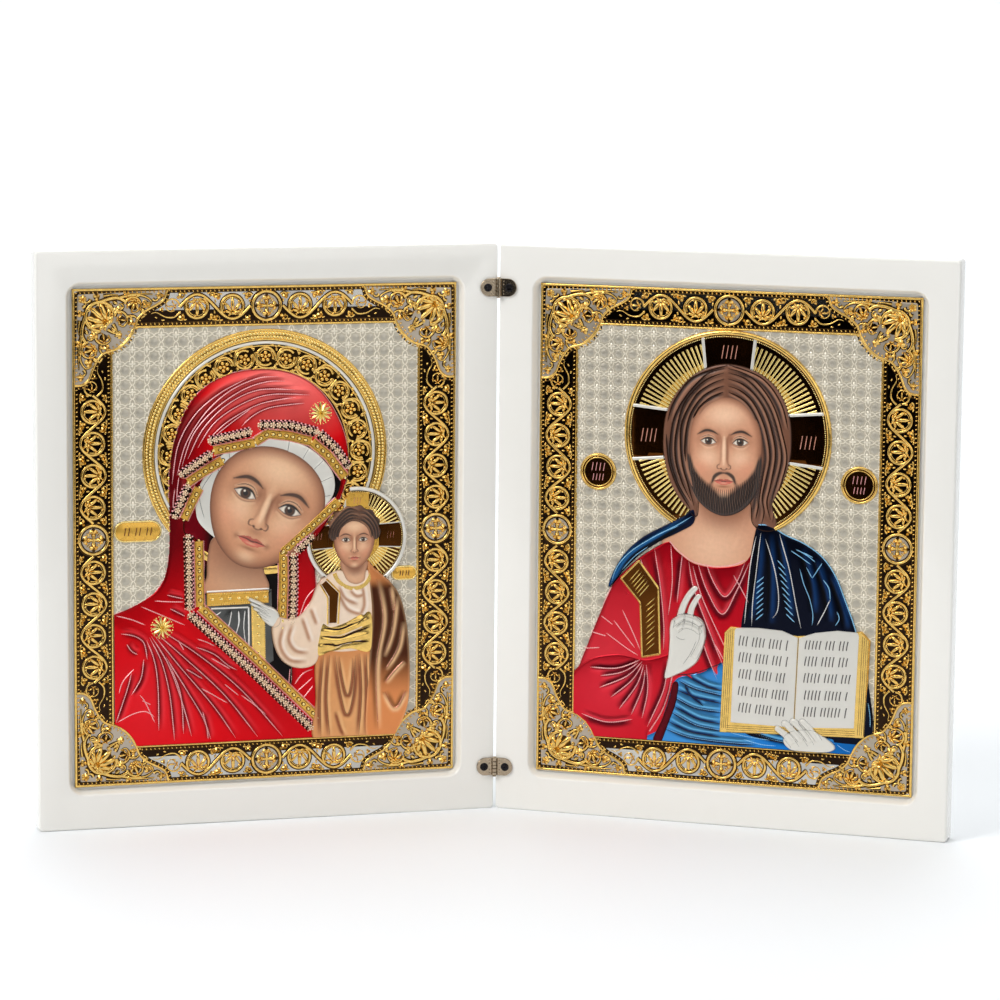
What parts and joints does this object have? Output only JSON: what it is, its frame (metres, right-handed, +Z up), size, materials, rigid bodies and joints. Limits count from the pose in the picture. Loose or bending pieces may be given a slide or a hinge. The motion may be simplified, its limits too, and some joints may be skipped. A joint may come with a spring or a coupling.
{
  "type": "folding icon",
  "caption": "Folding icon of two white lacquered panels hinged at the spine, each with a pressed metal picture plate in a coved pocket, standing open like a book.",
  "frame": {"origin": "middle of the footprint, on the ground", "axes": "+X from the left panel to the right panel, +Y from the pictures to the back, +Z up"},
  "size_m": [0.4098, 0.0696, 0.26],
  "materials": {
    "white_lacquer": "white gloss lacquer on board",
    "gilt_silver": "pressed silver and gilt with coloured enamel lacquer",
    "nickel": "antique nickel, satin",
    "dark_steel": "blackened"
  },
  "bodies": {
    "left_wing": {"left_panel": "white_lacquer", "left_icon_plate": "gilt_silver", "left_top_hinge_leaf": "nickel", "left_bottom_hinge_leaf": "nickel", "left_top_hinge_screw": "dark_steel", "left_bottom_hinge_screw": "dark_steel", "top_hinge_pin": "nickel", "bottom_hinge_pin": "nickel"},
    "right_wing": {"right_panel": "white_lacquer", "right_icon_plate": "gilt_silver", "right_top_hinge_leaf": "nickel", "right_bottom_hinge_leaf": "nickel", "right_top_hinge_screw": "dark_steel", "right_bottom_hinge_screw": "dark_steel"}
  },
  "joints": [
    {"name": "spine_hinge", "type": "hinge", "parent": "left_wing", "child": "right_wing", "pos_m": [0, 0.0231, 0], "axis": [0, 0, 1], "range_deg": [-147, 33]}
  ]
}
